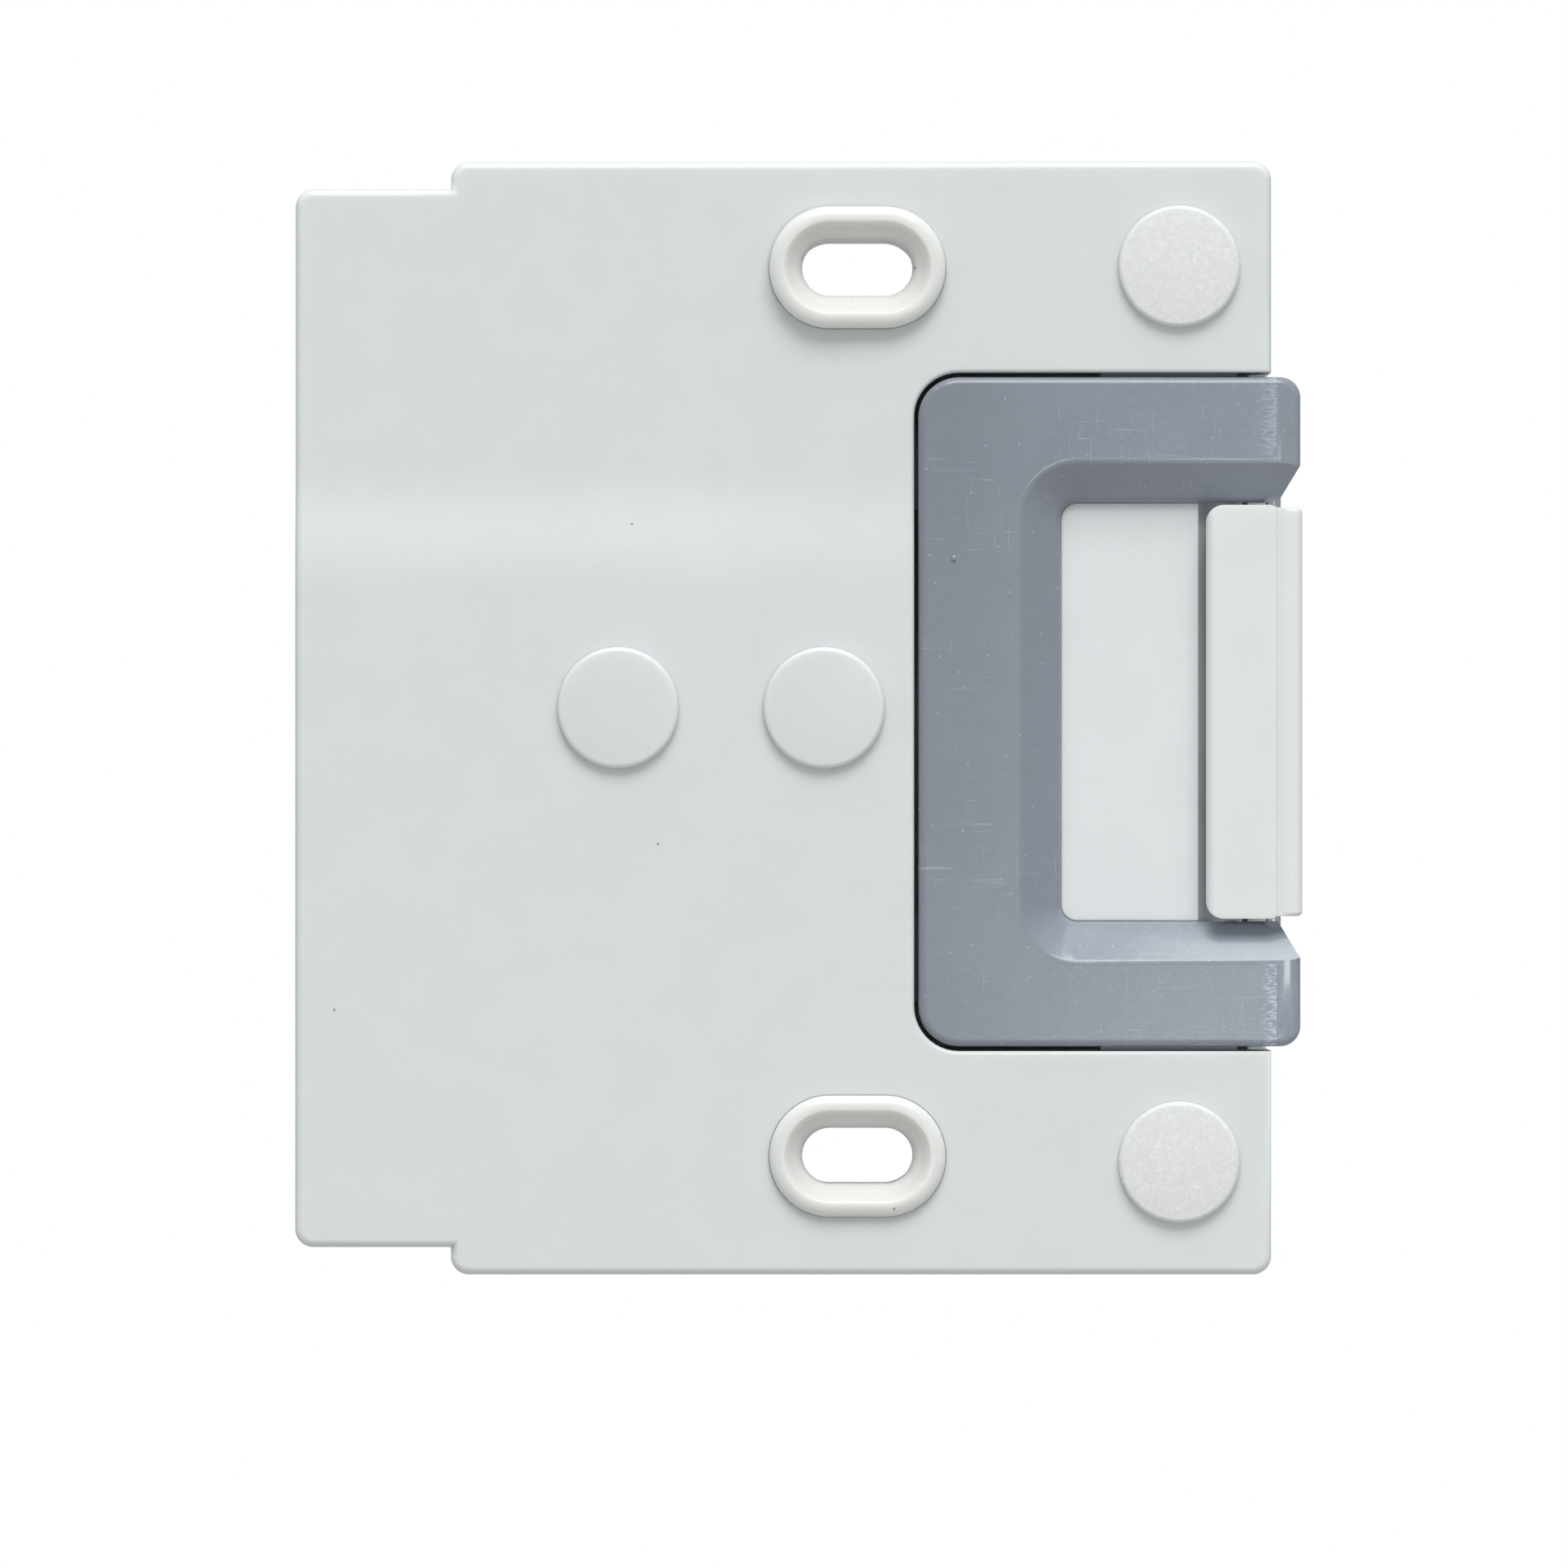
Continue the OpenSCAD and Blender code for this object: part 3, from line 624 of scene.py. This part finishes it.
def lever_mesh():
    """The C with its outline and arm ends well rounded and the creases of its slope slightly."""
    def width(p):
        """Of the outline's rounding, which runs out beside the mouth of the pocket."""
        if p.x <= 34 * MM:
            return 0.8 * MM
        return 0.8 * MM * min(1.0, max(0.0, (abs(p.z) - 19.6 * MM) / (4.2 * MM)))

    def on_slope(p):
        across = 8 * MM < p.x < LEVER_HI.x - ARM_SLOPE_W - 0.1 * MM
        return across and abs(p.z) < 28 * MM and p.y < LEVER_TOP + 0.3 * MM

    bm = cad_bmesh("release_lever")
    round_edges(bm, on_slope, 0.35 * MM)
    soften(bm, width, LEVER_TOP + 0.9 * MM)
    add_nub(bm, 9.5 * MM, 15.1 * MM, 0.35 * MM)
    bmesh.ops.recalc_face_normals(bm, faces=bm.faces)
    return finish_mesh(bm, "lever_c", 25)


def soft_copy(node, name, deepest, width):
    """A CAD node with its front rim rounded."""
    bm = cad_bmesh(node)
    soften(bm, lambda p: width, deepest)
    return finish_mesh(bm, name)


def pawl_mesh():
    """The bar with the edges of its own ends and of its lip's ends rounded."""
    bm = cad_bmesh("latch_pawl")
    round_edges(bm, lambda p: p.y < PAWL_LO.y + 0.1 * MM and abs(p.z) > 18 * MM, 0.4 * MM, 4)
    round_edges(bm, lambda p: p.x > 42.2 * MM and abs(p.z) > 20 * MM, 0.45 * MM, 4, clamp=False)
    return finish_mesh(bm, "pawl_bar")


def add_nub(bm, x, z, radius):
    """A tiny raised moulding nub on the lever's flat: a round dome of a few rings."""
    around = 12
    top = bm.verts.new((x, LEVER_TOP - radius * 0.55, z))
    rings = []
    for share, height in ((0.45, 0.45), (0.8, 0.25), (1.0, -0.1)):
        ring = []
        for a in (2 * math.pi * i / around for i in range(around)):
            ring.append(bm.verts.new((x + radius * share * math.cos(a), LEVER_TOP - radius * height,
                                      z + radius * share * math.sin(a))))
        rings.append(ring)
    for j in range(around):
        k = (j + 1) % around
        bm.faces.new((top, rings[0][j], rings[0][k]))
        for near, far in zip(rings, rings[1:]):
            bm.faces.new((near[j], far[j], far[k], near[k]))
    bm.faces.new(rings[-1])


lever = new_piece("lever_c", lever_mesh(), "lever", "release_lever", slot="grey_nylon")
dress(lever, "grey_nylon")
even_shading(lever)

tray_mesh = soft_copy("pocket_tray", "tray", TRAY_LO.y + 0.05 * MM, 0.15 * MM)
tray = new_piece("tray", tray_mesh, "lever", "pocket_tray", slot="white_tray")
dress(tray, "white_tray")
even_shading(tray)

pawl = new_piece("pawl_bar", pawl_mesh(), "pawl", "latch_pawl", slot="white_pawl")
dress(pawl, "white_pawl")
even_shading(pawl)


# ---------------------------------------------------------------- springs

def coil_mesh(node, wire, turns, steps=26, around=12):
    """Round-wire spring that fills the CAD node's box: open turns between a closed turn at each end."""
    lo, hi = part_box(node)
    middle = (lo + hi) / 2
    radius = (hi.x - lo.x) / 2 - wire / 2
    closed = 0.92 * wire
    opened = hi.y - lo.y - wire - 2 * closed
    total = steps * (turns + 2)
    bm = bmesh.new()
    rings = []
    for i in range(total + 1):
        t = i / total * (turns + 2)
        along = closed * (min(t, 1.0) + max(0.0, t - turns - 1.0))
        along += opened * min(1.0, max(0.0, (t - 1.0) / turns))
        a = 2 * math.pi * t
        out = Vector((math.cos(a), 0, math.sin(a)))
        centre = Vector((middle.x, lo.y + wire / 2 + along, middle.z)) + out * radius
        ring = []
        for j in range(around):
            b = 2 * math.pi * j / around
            way = out * math.cos(b) + Vector((0, 1, 0)) * math.sin(b)
            ring.append(bm.verts.new(centre + way * wire / 2))
        rings.append(ring)
    for ring, after in zip(rings, rings[1:]):
        for j in range(around):
            k = (j + 1) % around
            bm.faces.new((ring[j], ring[k], after[k], after[j]))
    bm.faces.new(rings[0])
    bm.faces.new(reversed(rings[-1]))
    bmesh.ops.recalc_face_normals(bm, faces=bm.faces)
    return bm


for node, fixed, moving, wire in (("return_spring_upper", "housing", "lever", 0.8 * MM),
                                  ("return_spring_lower", "housing", "lever", 0.8 * MM),
                                  ("pawl_spring_upper", "lever", "pawl", 0.35 * MM),
                                  ("pawl_spring_lower", "lever", "pawl", 0.35 * MM)):
    coil = finish_mesh(coil_mesh(node, wire, 4), node, sharp=60)
    spring = new_piece(node + "_coil", coil, None, node, slot="spring_steel")
    dress(spring, "spring_steel")
    lo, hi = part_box(node)
    middle = (lo + hi) / 2
    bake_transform(spring)


# ---------------------------------------------------------------- CAD nodes that stay

SLOT_OF = {row["node"]: row["material_slot"] for row in frame["record"]["subparts"]}
for node in ("back_plate", "pivot_pin", "pivot_clip_upper", "pivot_clip_lower", "case_screws",
             "tray_screws", "pawl_pin", "pawl_pin_clip_upper", "pawl_pin_clip_lower"):
    dress(frame["nodes"][node], SLOT_OF[node])


# ---------------------------------------------------------------- studio

def area_light(name, place, target, size, power):
    """A white rectangular lamp that looks at the target."""
    data = bpy.data.lights.new(name, "AREA")
    data.shape = "RECTANGLE"
    data.size, data.size_y = size
    data.energy = power
    lamp = bpy.data.objects.new(name, data)
    lamp.location = place
    lamp.rotation_euler = (Vector(target) - Vector(place)).to_track_quat("-Z", "Y").to_euler()
    SCENE.collection.objects.link(lamp)


def world(strength, seen):
    """White surroundings: seen is how bright the camera sees them, strength how much they light."""
    sky = bpy.data.worlds.new("studio")
    SCENE.world = sky
    sky.use_nodes = True
    nodes, links = sky.node_tree.nodes, sky.node_tree.links
    fill = nodes["Background"]
    fill.inputs["Color"].default_value = (1, 1, 1, 1)
    fill.inputs["Strength"].default_value = strength
    backdrop = nodes.new("ShaderNodeBackground")
    backdrop.inputs["Color"].default_value = (1, 1, 1, 1)
    backdrop.inputs["Strength"].default_value = seen
    path = nodes.new("ShaderNodeLightPath")
    mix = nodes.new("ShaderNodeMixShader")
    links.new(path.outputs["Is Camera Ray"], mix.inputs["Fac"])
    links.new(fill.outputs["Background"], mix.inputs[1])
    links.new(backdrop.outputs["Background"], mix.inputs[2])
    links.new(mix.outputs["Shader"], nodes["World Output"].inputs["Surface"])


def floor(height, reach):
    """A plain pale floor. It throws no diffuse light back at the object."""
    bm = bmesh.new()
    bmesh.ops.create_grid(bm, x_segments=1, y_segments=1, size=reach)
    mesh = bpy.data.meshes.new("floor")
    bm.to_mesh(mesh)
    bm.free()
    plane = bpy.data.objects.new("floor", mesh)
    plane.location.z = height
    SCENE.collection.objects.link(plane)
    pale = bpy.data.materials.new("pale_floor")
    pale.use_nodes = True
    surface = pale.node_tree.nodes["Principled BSDF"].inputs
    surface["Base Color"].default_value = (0.86, 0.86, 0.86, 1)
    surface["Roughness"].default_value = 0.8
    mesh.materials.append(pale)
    plane.visible_diffuse = False


def camera(distance, frame_width, centre):
    """Looks straight at the front plane, of which the frame shows frame_width metres."""
    data = bpy.data.cameras.new("camera")
    data.sensor_width = 36
    data.lens = data.sensor_width * distance / frame_width
    data.clip_end = 50
    eye = bpy.data.objects.new("camera", data)
    eye.location = (centre[0], FRONT - distance, centre[1])
    eye.rotation_euler = (math.radians(90), 0, 0)
    SCENE.collection.objects.link(eye)
    SCENE.camera = eye


SCENE.view_settings.view_transform = "Standard"
camera(1.2, 0.15456, (-7.24 * MM, -7.12 * MM))
world(0.47, 1.0)
floor(-0.4, 2.5)
AIM = (0, FRONT, 0)
area_light("key", (0.3, -2.55, 3.65), AIM, (3.0, 2.2), 168.0)
area_light("overhead", (0, -0.2, 1.3), AIM, (1.1, 0.3), 1.6)
area_light("sheen", (0.16, -1.1, -0.15), AIM, (0.2, 0.2), 0.9)
